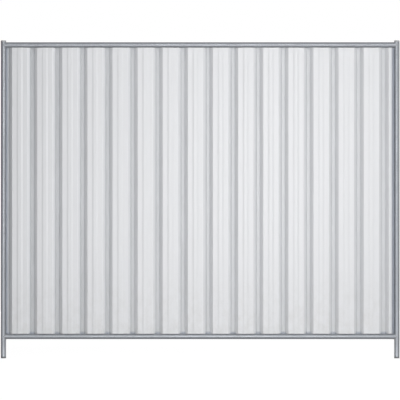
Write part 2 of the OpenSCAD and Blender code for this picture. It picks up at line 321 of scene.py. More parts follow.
# Bare aluminium of the rivets' tails
DENTS = {"scale": (700, 700, 700), "detail": 4}
DENT_RANGE = (0.35, 0.7)
DENT_SHARE = 0.7
DENT_GAIN = 0.78
DENT_ROUGH_RANGE = (0.3, 0.7)
DENT_ROUGH = (0.3, 0.45)
DENT_BUMP_H = 0.06 * MM
DENT_BUMP_SHARE = 0.5
ALUMINIUM_METAL_SHARE = 1

# Stage
FLOOR_HALF = 60
FLOOR_CORNERS = ((-1, -1), (1, -1), (1, 1), (-1, 1))
FLOOR_GLOW = 0.96
FLOOR_SHADOW_TONE = 0.1
FLOOR_BOUNCE_TONE = 0.45
AMBIENT = 0.12
WHITE_TONE = 1
LAMP_AIM = Vector((0.2, 0, 1.05))
LAMPS = {
    "front_softbox": {"place": (0.68, -6.4, 1.35), "width": 1.0, "height": 2.6, "power": 170},
    "front_left_softbox": {"place": (-0.8, -6.4, 1.35), "width": 1.0, "height": 2.6, "power": 34},
    "low_left_softbox": {"place": (-1.2, -5, 0.4), "width": 1.2, "height": 0.7, "power": 28},
    "right_softbox": {"place": (5.2, -2.6, 1.45), "width": 3.4, "height": 2.8, "power": 78},
    "top_softbox": {"place": (0.3, -2.6, 4.6), "width": 2.6, "height": 1.2, "power": 20},
    "back_softbox": {"place": (0, 6, 1.6), "width": 5.0, "height": 2.8, "power": 220},
}
CAMERA_LENS = 200
CAMERA_SENSOR = 36
CAMERA_PLACE = (-0.85 * MM, -13.99, 0.9959)


# Mesh helpers
def skin(rings, closed_path=False):
    """Points and faces of a surface through closed rings of points, with flat ends on an open path."""
    size = len(rings[0])
    points = [point for ring in rings for point in ring]
    faces = []
    spans = len(rings) if closed_path else len(rings) - 1
    for i in range(spans):
        a = i * size
        b = (i + 1) % len(rings) * size
        for j in range(size):
            k = (j + 1) % size
            faces.append((a + j, a + k, b + k, b + j))
    if not closed_path:
        faces.append(tuple(reversed(range(size))))
        faces.append(tuple(range((len(rings) - 1) * size, len(rings) * size)))
    return points, faces


def turn(profile, steps, place):
    """A surface of revolution. profile holds (radius, height), from axis to axis or as a closed loop."""
    on_axis = profile[0][0] == 0
    inner = profile[1:-1] if on_axis else profile
    points = []
    for i in range(steps):
        angle = 2 * math.pi * i / steps
        points += [place(r * math.cos(angle), r * math.sin(angle), h) for r, h in inner]
    size = len(inner)
    faces = []
    for i in range(steps):
        a = i * size
        b = (i + 1) % steps * size
        for j in range(size - 1):
            faces.append((a + j, b + j, b + j + 1, a + j + 1))
        if not on_axis:
            faces.append((a + size - 1, b + size - 1, b, a))
    if on_axis:
        first = len(points)
        points += [place(0, 0, profile[0][1]), place(0, 0, profile[-1][1])]
        for i in range(steps):
            a = i * size
            b = (i + 1) % steps * size
            faces.append((first, b, a))
            faces.append((first + 1, a + size - 1, b + size - 1))
    return points, faces


def joined(parts):
    """Several (points, faces) as one."""
    points = []
    faces = []
    for more_points, more_faces in parts:
        start = len(points)
        points += more_points
        faces += [tuple(i + start for i in face) for face in more_faces]
    return points, faces


def add_piece(name, shape, materials, node, pick=None):
    """A piece in place of a CAD node. pick gives a face's material from its middle and its normal."""
    points, faces = shape
    mesh = bpy.data.meshes.new(name)
    mesh.from_pydata(points, [], faces)
    mesh.update()
    for material in materials:
        mesh.materials.append(material)
    if pick:
        for face in mesh.polygons:
            face.material_index = pick(face.center, face.normal)
    mesh.shade_smooth()
    mesh.set_sharp_from_angle(angle=SMOOTH_ANGLE)
    piece = bpy.data.objects.new(name, mesh)
    bpy.context.scene.collection.objects.link(piece)
    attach(piece, "root")
    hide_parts(node)


def recess_x(k):
    """The middle of recess k, counted from the left."""
    return POST_X["left"] + FIRST_RECESS_OFFSET + k * RIB_PITCH


# Material helpers
class Shader:
    """A node material built from object coordinates, in metres."""

    def __init__(self, name):
        self.material = bpy.data.materials.new(name)
        self.material.use_nodes = True
        self.tree = self.material.node_tree
        self.tree.nodes.clear()
        self.bsdf = self.node("ShaderNodeBsdfPrincipled")
        self.out = self.node("ShaderNodeOutputMaterial")
        self.link(self.bsdf.outputs["BSDF"], self.out.inputs["Surface"])
        self.place = self.node("ShaderNodeTexCoord").outputs["Object"]

    def node(self, kind):
        return self.tree.nodes.new(kind)

    def link(self, source, target):
        self.tree.links.new(source, target)

    def stretched(self, scale):
        mapping = self.node("ShaderNodeMapping")
        mapping.inputs["Scale"].default_value = scale
        self.link(self.place, mapping.inputs["Vector"])
        return mapping.outputs["Vector"]

    def noise(self, scale, detail, rough_share=NOISE_ROUGH_SHARE, distortion=0):
        texture = self.node("ShaderNodeTexNoise")
        texture.inputs["Scale"].default_value = 1
        texture.inputs["Detail"].default_value = detail
        texture.inputs["Roughness"].default_value = rough_share
        texture.inputs["Distortion"].default_value = distortion
        self.link(self.stretched(scale), texture.inputs["Vector"])
        return texture.outputs["Fac"]

    def cells(self, scale):
        texture = self.node("ShaderNodeTexVoronoi")
        texture.inputs["Scale"].default_value = 1
        self.link(self.stretched(scale), texture.inputs["Vector"])
        split = self.node("ShaderNodeSeparateColor")
        self.link(texture.outputs["Color"], split.inputs["Color"])
        return split.outputs["Red"]

    def along(self, axis):
        split = self.node("ShaderNodeSeparateXYZ")
        self.link(self.place, split.inputs["Vector"])
        return split.outputs[axis]

    def spread(self, value, low, high, to_low=0, to_high=1):
        """value, taken from low to high, carried to to_low to to_high and held there."""
        ranged = self.node("ShaderNodeMapRange")
        ranged.inputs["From Min"].default_value = low
        ranged.inputs["From Max"].default_value = high
        ranged.inputs["To Min"].default_value = to_low
        ranged.inputs["To Max"].default_value = to_high
        self.link(value, ranged.inputs["Value"])
        return ranged.outputs["Result"]

    def sums(self, operation, *values):
        maths = self.node("ShaderNodeMath")
        maths.operation = operation
        for socket, value in zip(maths.inputs, values):
            if isinstance(value, bpy.types.NodeSocket):
                self.link(value, socket)
            else:
                socket.default_value = value
        return maths.outputs["Value"]

    def mix(self, share, a, b):
        mixed = self.node("ShaderNodeMix")
        mixed.data_type = "RGBA"
        self.link(share, mixed.inputs["Factor"])
        for name, colour in (("A", a), ("B", b)):
            socket = next(s for s in mixed.inputs if s.name == name and s.type == "RGBA")
            if isinstance(colour, bpy.types.NodeSocket):
                self.link(colour, socket)
            else:
                socket.default_value = (*colour, 1)
        return next(s for s in mixed.outputs if s.type == "RGBA")

    def colour(self, socket):
        self.link(socket, self.bsdf.inputs["Base Color"])

    def rough(self, socket):
        self.link(socket, self.bsdf.inputs["Roughness"])

    def bump(self, height, distance, strength):
        bump = self.node("ShaderNodeBump")
        bump.inputs["Strength"].default_value = strength
        bump.inputs["Distance"].default_value = distance
        self.link(height, bump.inputs["Height"])
        self.link(bump.outputs["Normal"], self.bsdf.inputs["Normal"])

    def set(self, **values):
        for name, value in values.items():
            self.bsdf.inputs[name.replace("_", " ")].default_value = value


def tinted(colour, gain):
    return tuple(min(1, channel * gain) for channel in colour)


def zinc(name, colour, along, dull_share, flank_shade=None, highlight_share=0):
    """Galvanised steel with soft spangle, drawing lines along the piece and dull patches.

    The second to last argument darkens the outer sides as painted shade, and the last lightens the fronts
    and backs of the lower posts as a painted highlight.
    """
    shader = Shader(name)
    line_scale = [DRAWN_ACROSS_SCALE] * 3
    line_scale[along] = DRAWN_ALONG_SCALE
    spangle = shader.cells(SPANGLE_SCALE)
    drawn = shader.noise(line_scale, DRAWN_DETAIL)
    patches = shader.noise(**PATCHES)
    grain = shader.noise(**ZINC_GRAIN)
    tone = shader.mix(spangle, tinted(colour, SPANGLE_LOW_GAIN), tinted(colour, SPANGLE_HIGH_GAIN))
    lines = shader.spread(drawn, *DRAWN_RANGE, 0, DRAWN_SHARE)
    tone = shader.mix(lines, tone, tinted(colour, DRAWN_GAIN))
    dull = shader.spread(patches, *PATCH_RANGE, 0, dull_share)
    tone = shader.mix(dull, tone, tinted(colour, PATCH_GAIN))
    # Painted shade: the outer sides of the tubes are darkened.
    if flank_shade:
        offset = shader.sums("SUBTRACT", shader.along(flank_shade["axis"]), flank_shade["centre"])
        offset = shader.sums("ABSOLUTE", offset)
        flank_shaded = shader.spread(offset, flank_shade["start"], flank_shade["end"], 0, flank_shade["share"])
        tone = shader.mix(flank_shaded, tone, tinted(colour, FLANK_SHADE_GAIN))
    # Painted highlight: the fronts and backs of the lower posts are lightened.
    if highlight_share:
        depth = shader.sums("ABSOLUTE", shader.along(Y))
        front = shader.spread(depth, POST_HIGHLIGHT_START_SHARE * TUBE_R, POST_HIGHLIGHT_FULL_SHARE * TUBE_R)
        low = shader.spread(shader.along(Z), POST_HIGHLIGHT_TOP_Z, POST_HIGHLIGHT_LOW_Z, 0, highlight_share)
        tone = shader.mix(shader.sums("MULTIPLY", low, front), tone, tinted(colour, POST_HIGHLIGHT_GAIN))
    shader.colour(tone)
    rough = shader.spread(spangle, 0, 1, *SPANGLE_ROUGH)
    dull_rough = shader.spread(patches, *PATCH_ROUGH_RANGE, 0, PATCH_ROUGH)
    shader.rough(shader.sums("ADD", rough, dull_rough))
    line_relief = shader.spread(drawn, 0, 1, 0, DRAWN_RELIEF_SHARE)
    grain_relief = shader.spread(grain, 0, 1, 0, GRAIN_RELIEF_SHARE)
    shader.bump(shader.sums("ADD", line_relief, grain_relief), ZINC_BUMP_H, ZINC_BUMP_SHARE)
    shader.set(Metallic=ZINC_METAL_SHARE)
    return shader.material


def paint_light_and_shade(shader, tone, clouds, highlight_colour):
    """tone with painted shade in the recesses, on the left pans, by the posts and at the foot, and a
    painted highlight on the bends into the recesses.
    """
    x = shader.along(X)
    post_face = POST_X["right"] - TUBE_R
    # Painted shade: darker deeper in the recesses, heavier towards the left, patchy by the clouds.
    deep = shader.spread(shader.along(Y), PAN_Y + BEND_R / 2, FLOOR_Y - BEND_R / 2)
    deep = shader.sums("POWER", deep, shader.spread(x, 0, POST_X["right"], *RECESS_SHADE_POWERS))
    recess_shade = shader.sums("MULTIPLY", deep, shader.spread(clouds, *SHADE_CLOUD_RANGE, *SHADE_CLOUD_SHARES))
    leaning = shader.spread(x, POST_X["left"], SHADE_EVEN_X, *SHADE_SIDE_SHARES)
    recess_shade = shader.sums("MULTIPLY", recess_shade, leaning)
    # Painted shade on the left pans.
    pan_shade = shader.spread(x, POST_X["left"], PAN_SHADE_END_X, PAN_SHADE_SHARE, 0)
    tone = shader.mix(shader.sums("MAXIMUM", recess_shade, pan_shade), tone, PAINTED_RECESS_SHADE)
    # Painted highlight: the bends from the pans into the recesses are lightened, more towards the left.
    past_recess = shader.sums("SUBTRACT", x, recess_x(0))
    past_recess = shader.sums("FLOORED_MODULO", past_recess, RIB_PITCH)
    highlight_in = shader.spread(past_recess, RIB_PITCH - BEND_HIGHLIGHT_FAR, RIB_PITCH - BEND_HIGHLIGHT_FAR + BEND_HIGHLIGHT_FADE)
    highlight_out = shader.spread(past_recess, RIB_PITCH - BEND_HIGHLIGHT_NEAR, RIB_PITCH - BEND_HIGHLIGHT_NEAR - BEND_HIGHLIGHT_FADE)
    bend_highlight = shader.spread(x, POST_X["left"], POST_X["right"], BEND_HIGHLIGHT_SHARE, 0)
    bend_highlight = shader.sums("MULTIPLY", bend_highlight, shader.sums("MINIMUM", highlight_in, highlight_out))
    tone = shader.mix(bend_highlight, tone, highlight_colour)
    # Painted shade in the recesses by the posts and at the sheet's foot.
    corner = shader.spread(shader.sums("ABSOLUTE", x), post_face - CORNER_SHADE_W, post_face)
    foot = shader.spread(shader.along(Z), SHEET_LOW_Z + FOOT_SHADE_H, SHEET_LOW_Z)
    nook = shader.sums("MULTIPLY", deep, shader.sums("MAXIMUM", corner, foot))
    tone = shader.mix(nook, tone, PAINTED_CORNER_SHADE)
    # Painted shade on the end pan by the right post.
    edge = shader.spread(x, post_face - EDGE_SHADE_W, post_face, 0, EDGE_SHADE_SHARE)
    return shader.mix(edge, tone, PAINTED_CORNER_SHADE)


def coated(name, colour, streak_share, rough, with_painted_light=False):
    """Coil-coated sheet: streaks from the rolls, faint clouds, painted shade and highlight if asked,
    splash at the bottom.
    """
    shader = Shader(name)
    streaks = shader.noise(**STREAKS)
    clouds = shader.noise(**CLOUDS)
    specks = shader.noise(**SPECKS)
    splash = shader.noise(**SPLASH)
    dark = tinted(colour, COAT_DARK_GAIN)
    tone = shader.mix(shader.spread(streaks, *STREAK_RANGE, 0, streak_share), colour, dark)
    tone = shader.mix(shader.spread(clouds, *CLOUD_RANGE, 0, CLOUD_SHARE), tone, dark)
    if with_painted_light:
        tone = paint_light_and_shade(shader, tone, clouds, tinted(colour, BEND_HIGHLIGHT_GAIN))
    low = shader.spread(shader.along(Z), SHEET_LOW_Z, SHEET_LOW_Z + SPLASH_H, 1, 0)
    dirt = shader.sums("MULTIPLY", low, shader.spread(splash, *SPLASH_RANGE, 0, SPLASH_SHARE))
    shader.colour(shader.mix(dirt, tone, SPLASH_DIRT))
    shader.rough(shader.spread(specks, *SPECK_RANGE, *rough))
    shader.bump(specks, COAT_BUMP_H, COAT_BUMP_SHARE)
    shader.set(Specular_IOR_Level=COAT_SPECULAR_SHARE)
    return shader.material


def weld_metal(name, colour):
    """Weld bead under zinc paint: its ripples come from its mesh, the paint is matt and patchy."""
    shader = Shader(name)
    scale = shader.noise(**WELD_SCALE)
    heat = shader.noise(**HEAT)
    scaly = shader.spread(scale, *WELD_SCALE_RANGE, 0, WELD_SCALE_SHARE)
    tone = shader.mix(scaly, tinted(colour, WELD_LOW_GAIN), tinted(colour, WELD_HIGH_GAIN))
    tone = shader.mix(shader.spread(heat, *HEAT_RANGE, 0, HEAT_SHARE), tone, HEAT_TINT)
    shader.colour(tone)
    shader.rough(shader.spread(scale, *WELD_ROUGH_RANGE, *WELD_ROUGH))
    shader.bump(scale, WELD_BUMP_H, WELD_BUMP_SHARE)
    shader.set(Metallic=WELD_METAL_SHARE)
    return shader.material


def moulded(name, colour, wear_colour, wear_share):
    """Moulded plastic: fine spark-eroded grain, slight flow marks and scuffs."""
    shader = Shader(name)
    grain = shader.noise(**PLASTIC_GRAIN)
    flow = shader.noise(**FLOW)
    scuffs = shader.noise(**SCUFFS)
    tone = shader.mix(shader.spread(flow, *FLOW_RANGE, 0, FLOW_SHARE), colour, tinted(colour, FLOW_GAIN))
    tone = shader.mix(shader.spread(scuffs, *SCUFF_RANGE, 0, wear_share), tone, wear_colour)
    shader.colour(tone)
    shader.rough(shader.spread(scuffs, *SCUFF_ROUGH_RANGE, *PLASTIC_ROUGH))
    shader.bump(grain, PLASTIC_BUMP_H, PLASTIC_BUMP_SHARE)
    shader.set(Specular_IOR_Level=PLASTIC_SPECULAR_SHARE)
    return shader.material


def bare_aluminium(name, colour):
    """Set rivet tails: drawn aluminium with small dents."""
    shader = Shader(name)
    dents = shader.noise(**DENTS)
    tone = shader.mix(shader.spread(dents, *DENT_RANGE, 0, DENT_SHARE), colour, tinted(colour, DENT_GAIN))
    shader.colour(tone)
    shader.rough(shader.spread(dents, *DENT_ROUGH_RANGE, *DENT_ROUGH))
    shader.bump(dents, DENT_BUMP_H, DENT_BUMP_SHARE)
    shader.set(Metallic=ALUMINIUM_METAL_SHARE)
    return shader.material


post_zinc = zinc("galvanised_post", ZINC, Z, TUBE_DULL_SHARE, POST_FLANK_SHADE, POST_HIGHLIGHT_SHARE)
rail_zinc = zinc("galvanised_rail", ZINC, X, TUBE_DULL_SHARE, RAIL_FLANK_SHADE)
upright_bar_zinc = zinc("galvanised_upright_bar", BAR_ZINC, Z, BAR_DULL_SHARE)
level_bar_zinc = zinc("galvanised_level_bar", BAR_ZINC, X, BAR_DULL_SHARE)
front_coat = coated("sheet_front_coat", COAT, FRONT_STREAK_SHARE, FRONT_ROUGH, with_painted_light=True)
back_coat = coated("sheet_back_coat", BACK_COAT, BACK_STREAK_SHARE, BACK_ROUGH)
cut_edge = zinc("sheet_cut_edge", tinted(BAR_ZINC, CUT_EDGE_GAIN), Z, CUT_EDGE_DULL_SHARE)
weld_bead = weld_metal("weld_bead", WELD)
rivet_tail = bare_aluminium("rivet_tail_aluminium", ALUMINIUM)
cap_plastic = moulded("cap_plastic", CAP_GREY, CAP_WEAR, CAP_WEAR_SHARE)
foot_plastic = moulded("foot_plastic", FOOT_GREY, FOOT_WEAR, FOOT_WEAR_SHARE)


# Tubes
def post_shape(x):
    profile = [
        (LEG_R, POST_LOW_Z + RIM_EDGE),
        (LEG_R, LEG_SHOULDER_Z - RIM_EDGE),
        (TUBE_R, LEG_SHOULDER_Z + RIM_EDGE),
        (TUBE_R, POST_TOP_Z - RIM_EDGE),
        (TUBE_R - RIM_EDGE, POST_TOP_Z),
        (BORE_R + RIM_EDGE, POST_TOP_Z),
        (BORE_R, POST_TOP_Z - RIM_EDGE),
        (BORE_R, POST_LOW_Z + RIM_EDGE),
        (BORE_R + RIM_EDGE, POST_LOW_Z),
        (LEG_R - RIM_EDGE, POST_LOW_Z),
    ]
    return turn(profile, TUBE_STEPS, lambda a, b, h: (x + a, b, h))


def rail_shape(z):
    """A tube between the posts, its ends coped to them."""
    cope_r = TUBE_R + ROOT_GAP

    def ring(r, side, inset):
        points = []
        for i in range(TUBE_STEPS):
            angle = 2 * math.pi * i / TUBE_STEPS
            y = r * math.sin(angle)
            reach = math.sqrt(cope_r ** 2 - y ** 2) + inset
            end = POST_X["left"] + reach if side == "left" else POST_X["right"] - reach
            points.append((end, y, z + r * math.cos(angle)))
        return points

    rings = [
        ring(TUBE_R, "left", RIM_EDGE),
        ring(TUBE_R, "right", RIM_EDGE),
        ring(TUBE_R - RIM_EDGE, "right", 0),
        ring(BORE_R, "right", 0),
        ring(BORE_R, "left", 0),
        ring(TUBE_R - RIM_EDGE, "left", 0),
    ]
    return skin(rings, closed_path=True)


for side, x in POST_X.items():
    add_piece(f"{side}_post_tube", post_shape(x), [post_zinc], f"{side}_post")
for level, z in RAIL_Z.items():
    add_piece(f"{level}_rail_tube", rail_shape(z), [rail_zinc], f"{level}_rail")


# Welds
def bead(path, outward, half_w, half_h, closed, taper=0):
    """A rippled weld bead along path, with its crown towards outward at each point."""
    count = len(path)
    lengths = [0]
    for a, b in zip(path, path[1:]):
        lengths.append(lengths[-1] + (b - a).length)
    whole = lengths[-1]
    rings = []
    for i, centre in enumerate(path):
        before = path[i - 1] if closed or i else path[0]
        after = path[(i + 1) % count] if closed or i < count - 1 else path[-1]
        ahead = (after - before).normalized()
        up = (outward[i] - ahead * outward[i].dot(ahead)).normalized()
        across = ahead.cross(up)
        wave = math.sin(math.pi * (lengths[i] / BEAD_RIPPLE_PITCH % 1))
        growth = 1 + BEAD_RIPPLE_H / half_h * (wave - 1)
        if taper:
            end = min(1, min(lengths[i], whole - lengths[i]) / taper)
            growth *= math.sqrt(max(BEAD_END_SHARE, end * (2 - end)))
        wander = BEAD_WANDER_SHARE * noise.noise(centre / BEAD_WANDER_L)
        ring = []
        for j in range(BEAD_STEPS):
            angle = 2 * math.pi * j / BEAD_STEPS
            sideways = half_w * growth * (math.cos(angle) + wander)
            ring.append(centre + across * sideways + up * half_h * growth * math.sin(angle))
        rings.append(ring)
    return skin(rings, closed_path=closed)


def saddle_shape(side, level):
    """The bead where a rail meets a post, along the crossing of the two tubes."""
    way = 1 if side == "left" else -1
    around = 2 * math.pi * TUBE_R * SADDLE_LENGTH_GAIN
    count = round(around / BEAD_RIPPLE_PITCH) * RINGS_PER_RIPPLE
    path = []
    outward = []
    for i in range(count):
        angle = 2 * math.pi * i / count
        y = TUBE_R * math.sin(angle)
        z = TUBE_R * math.cos(angle)
        x = math.sqrt(z ** 2 + SADDLE_TURN_R ** 2)
        rail_out = Vector((0, y, z)).normalized()
        post_out = Vector((x, y, 0)).normalized()
        out = (rail_out + post_out).normalized()
        sink = Vector((0, math.copysign(SADDLE_SINK, y), 0)) * abs(math.sin(angle))
        spot = Vector((x, y, z)) - sink
        path.append(Vector((POST_X[side] + way * spot.x, spot.y, RAIL_Z[level] + spot.z)))
        outward.append(Vector((way * out.x, out.y, out.z)))
    return bead(path, outward, SADDLE_HALF_W, SADDLE_HALF_H, True)


for level in RAIL_Z:
    for side in POST_X:
        node = f"{level}_{side}_weld"
        add_piece(f"{node}_bead", saddle_shape(side, level), [weld_bead], node)


def stitch_shape(node, axis, spot):
    """Short beads along a bar's edge. spot gives a bead's place from its distance along the axis."""
    ends = sorted({round(v.co[axis], PLACE_DIGITS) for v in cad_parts[node].data.vertices})
    middles = [start + STITCH_L / 2 for start in ends[0::2]]
    count = round(STITCH_L / BEAD_RIPPLE_PITCH * RINGS_PER_RIPPLE)
    parts = []
    for centre in middles:
        path = [spot(centre + STITCH_L * (i / count - 1 / 2)) for i in range(count + 1)]
        outward = [BEHIND] * len(path)
        parts.append(bead(path, outward, STITCH_HALF_W, STITCH_HALF_H, False, STITCH_END_TAPER))
    return joined(parts)


STITCHES = {
    "top_strip_welds": (X, lambda t: Vector((t, STITCH_Y, RAIL_Z["top"] - STITCH_REACH))),
    "bottom_strip_welds": (X, lambda t: Vector((t, STITCH_Y, RAIL_Z["bottom"] + STITCH_REACH))),
    "left_strip_welds": (Z, lambda t: Vector((POST_X["left"] + STITCH_REACH, STITCH_Y, t))),
    "right_strip_welds": (Z, lambda t: Vector((POST_X["right"] - STITCH_REACH, STITCH_Y, t))),
}
for node, (axis, spot) in STITCHES.items():
    add_piece(f"{node}_beads", stitch_shape(node, axis, spot), [weld_bead], node)


# Flat bars with rolled edges
def bar_shape(node, axis):
    low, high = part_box(node)
    width_axis = Z if axis == X else X
    corners = [(1, 1), (-1, 1), (-1, -1), (1, -1)]
    half_w = (high[width_axis] - low[width_axis]) / 2 - STRIP_EDGE
    half_t = (high.y - low.y) / 2 - STRIP_EDGE
    centre = (low + high) / 2
    section = []
    for quarter, (u, v) in enumerate(corners):
        for i in range(-1, STRIP_EDGE_STEPS + 2):
            turned_share = min(max(i, 0), STRIP_EDGE_STEPS) / STRIP_EDGE_STEPS
            angle = math.pi / 2 * (quarter + turned_share)
            hold = FLAT_HOLD if i > STRIP_EDGE_STEPS else -FLAT_HOLD if i < 0 else 0
            section.append((
                u * half_w + STRIP_EDGE * math.cos(angle) - hold * math.sin(angle),
                v * half_t + STRIP_EDGE * math.sin(angle) + hold * math.cos(angle),
            ))
    rings = []
    for end in (low[axis], high[axis]):
        ring = []
        for w, t in section:
            point = centre.copy()
            point[axis] = end
            point[width_axis] += w
            point.y += t
            ring.append(point)
        rings.append(ring)
    return skin(rings)


for level in RAIL_Z:
    node = f"{level}_fixing_strip"
    add_piece(f"{node}_bar", bar_shape(node, X), [level_bar_zinc], node)
for side in POST_X:
    node = f"{side}_fixing_strip"
    add_piece(f"{node}_bar", bar_shape(node, Z), [upright_bar_zinc], node)


# Ribbed sheets
def entry(k, y):
    return [(recess_x(k) - RECESS_MOUTH_W / 2, PAN_Y), (recess_x(k) - RECESS_FLOOR_W / 2, y)]


def leave(k, y):
    return [(recess_x(k) + RECESS_FLOOR_W / 2, y), (recess_x(k) + RECESS_MOUTH_W / 2, PAN_Y)]


def stiffener(k):
    x = recess_x(k) + RIB_PITCH / 2
    top = PAN_Y - STIFFENER_H
    return [
        (x - STIFFENER_FOOT_W / 2, PAN_Y),
        (x - STIFFENER_TOP_W / 2, top),
        (x + STIFFENER_TOP_W / 2, top),
        (x + STIFFENER_FOOT_W / 2, PAN_Y),
    ]


def sheet_corners(node, first, last):
    """Corners of a sheet's section along the middle of its thickness, from recess first to recess last."""
    low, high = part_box(node)
    start_y = FLOOR_Y - (SHEET_T if first in LAP_RECESSES else 0)
    corners = [(low.x, start_y)] + leave(first, start_y)
    for k in range(first, last):
        corners += stiffener(k) + entry(k + 1, FLOOR_Y)
        if k + 1 < last:
            corners += leave(k + 1, FLOOR_Y)
    if last == LAST_RECESS:
        return corners + leave(last, FLOOR_Y) + [
            (POST_X["right"] - EDGE_NOSE_OFFSET, PAN_Y),
            (POST_X["right"] - EDGE_WEB_OFFSET, PAN_Y + EDGE_NOSE_DEPTH),
            (POST_X["right"] - EDGE_FLANGE_OFFSET, FLOOR_Y),
            (high.x, FLOOR_Y),
        ]
    return corners + [(high.x, FLOOR_Y)]


def rounded_line(corners):
    """(x, y, heading) along the section with its corners rounded, and a point just off each bend."""
    headings = [math.atan2(b[1] - a[1], b[0] - a[0]) for a, b in zip(corners, corners[1:])]
    line = [(*corners[0], headings[0])]
    for (x, y), before, after in zip(corners[1:-1], headings, headings[1:]):
        side = math.copysign(1, after - before)
        back = BEND_R * math.tan(abs(after - before) / 2)
        hold = back + FLAT_HOLD
        start_x = x - back * math.cos(before)
        start_y = y - back * math.sin(before)
        steps = max(BEND_LEAST_STEPS, math.ceil(abs(after - before) / BEND_STEP))
        line.append((x - hold * math.cos(before), y - hold * math.sin(before), before))
        for i in range(steps + 1):
            a = before + (after - before) * i / steps
            line.append((
                start_x + side * BEND_R * (math.sin(a) - math.sin(before)),
                start_y + side * BEND_R * (math.cos(before) - math.cos(a)),
                a,
            ))
        line.append((x + hold * math.cos(after), y + hold * math.sin(after), after))
    line.append((*corners[-1], headings[-1]))
    return line


def pan_wave(x, y, z):
    """How far a pan stands proud of its plane: nothing at its bends, a little towards its middle."""
    if x > recess_x(LAST_RECESS):
        return 0
    depth_share = max(0, min(1, (FLOOR_Y - y) / (FLOOR_Y - PAN_Y)))
    across_share = (x - recess_x(0)) / RIB_PITCH % 1
    swing = noise.noise(Vector((x * PAN_WAVE_SCALE.x, 0, z * PAN_WAVE_SCALE.z)))
    return PAN_WAVE_H * swing * math.sin(math.pi * across_share) ** 2 * depth_share


def sheet_shape(node, first, last):
    line = rounded_line(sheet_corners(node, first, last))
    loop = [(x, y, a, -1) for x, y, a in line] + [(x, y, a, 1) for x, y, a in reversed(line)]
    rings = []
    for i in range(SHEET_ROWS + 1):
        z = SHEET_LOW_Z + (SHEET_TOP_Z - SHEET_LOW_Z) * i / SHEET_ROWS
        ring = []
        for x, y, a, side in loop:
            lift = pan_wave(x, y, z)
            ring.append((
                x - side * SHEET_T / 2 * math.sin(a),
                y + side * SHEET_T / 2 * math.cos(a) - lift,
                z,
            ))
        rings.append(ring)
    return skin(rings)


def sheet_side(node):
    """Front coat, back coat or cut edge, for a face of this sheet."""
    low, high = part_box(node)

    def pick(centre, normal):
        inset = min(centre.x - low.x, high.x - centre.x, centre.z - low.z, high.z - centre.z)
        if inset < SHEET_T / 2:
            return CUT_FACE
        return FRONT_FACE if normal.y < 0 else BACK_FACE

    return pick


sheet_ends = (0, *LAP_RECESSES, LAST_RECESS)
sheet_coats = [front_coat, back_coat, cut_edge]
for place, first, last in zip(("left", "middle", "right"), sheet_ends, sheet_ends[1:]):
    node = f"{place}_sheet"
    shape = sheet_shape(node, first, last)
    add_piece(f"{node}_ribbed", shape, sheet_coats, node, sheet_side(node))


# Blind rivets
RivetPlace = namedtuple("RivetPlace", "x z head_y tail_y")


def rivet_profile(grip):
    dome_h = RIVET_HEAD_H - RIVET_RIM_H
    dome_r = (RIVET_HEAD_R ** 2 + dome_h ** 2) / (2 * dome_h)
    floor_h = MANDREL_DEPTH - RIVET_HEAD_H
    profile = [(0, floor_h), (MANDREL_R * MANDREL_FLOOR_SHARE, floor_h)]
    for i in range(DOME_STEPS + 1):
        r = MANDREL_R + (RIVET_HEAD_R - MANDREL_R) * i / DOME_STEPS
        sag = dome_r - math.sqrt(dome_r ** 2 - r ** 2)
        profile.append((r, sag - RIVET_HEAD_H))
    profile += [(RIVET_HEAD_R, 0), (RIVET_SHANK_R, 0), (RIVET_SHANK_R, grip)]
    profile += [(RIVET_TAIL_R * r, grip + RIVET_TAIL_H * h) for r, h in RIVET_TAIL_SHARES]
    profile += [(MANDREL_R * r, grip + RIVET_TAIL_H * h) for r, h in MANDREL_END_SHARES]
    return profile + [(0, grip + RIVET_TAIL_H)]


def rivets_shape(places):
    parts = []
    for x, z, head_y, tail_y in places:
        profile = rivet_profile(tail_y - head_y)
        parts.append(turn(profile, RIVET_STEPS, lambda a, b, h: (x + a, head_y + h, z - b)))
    return joined(parts)


def rivet_side(split_y):
    """Coated head or bare tail, for a face of a rivet."""
    return lambda centre, normal: HEAD_FACE if centre.y < split_y else TAIL_FACE


def recess_front(k):
    return FLOOR_FRONT_Y - (SHEET_T if k in LAP_RECESSES else 0)


row_z = {level: middle(f"{level}_rivets", Z) for level in RAIL_Z}
edge_step = (row_z["top"] - row_z["bottom"]) / (EDGE_RIVET_ROWS + 1)
edge_zs = [row_z["bottom"] + edge_step * (i + 1) for i in range(EDGE_RIVET_ROWS)]
rivets = {}
for side in POST_X:
    x = middle(f"{side}_edge_rivets", X)
    rivets[f"{side}_edge_rivets"] = [RivetPlace(x, z, FLOOR_FRONT_Y, BAR_BACK_Y) for z in edge_zs]
rivets["lap_rivets"] = [
    RivetPlace(recess_x(k), z, recess_front(k), REAR_Y) for k in LAP_RECESSES for z in edge_zs
]
for level, z in row_z.items():
    rivets[f"{level}_rivets"] = [
        RivetPlace(recess_x(k), z, recess_front(k), BAR_BACK_Y) for k in range(LAST_RECESS + 1)
    ]
for node, places in rivets.items():
    pick = rivet_side(places[0].head_y + SHEET_T)
    add_piece(f"{node}_set", rivets_shape(places), [front_coat, rivet_tail], node, pick)


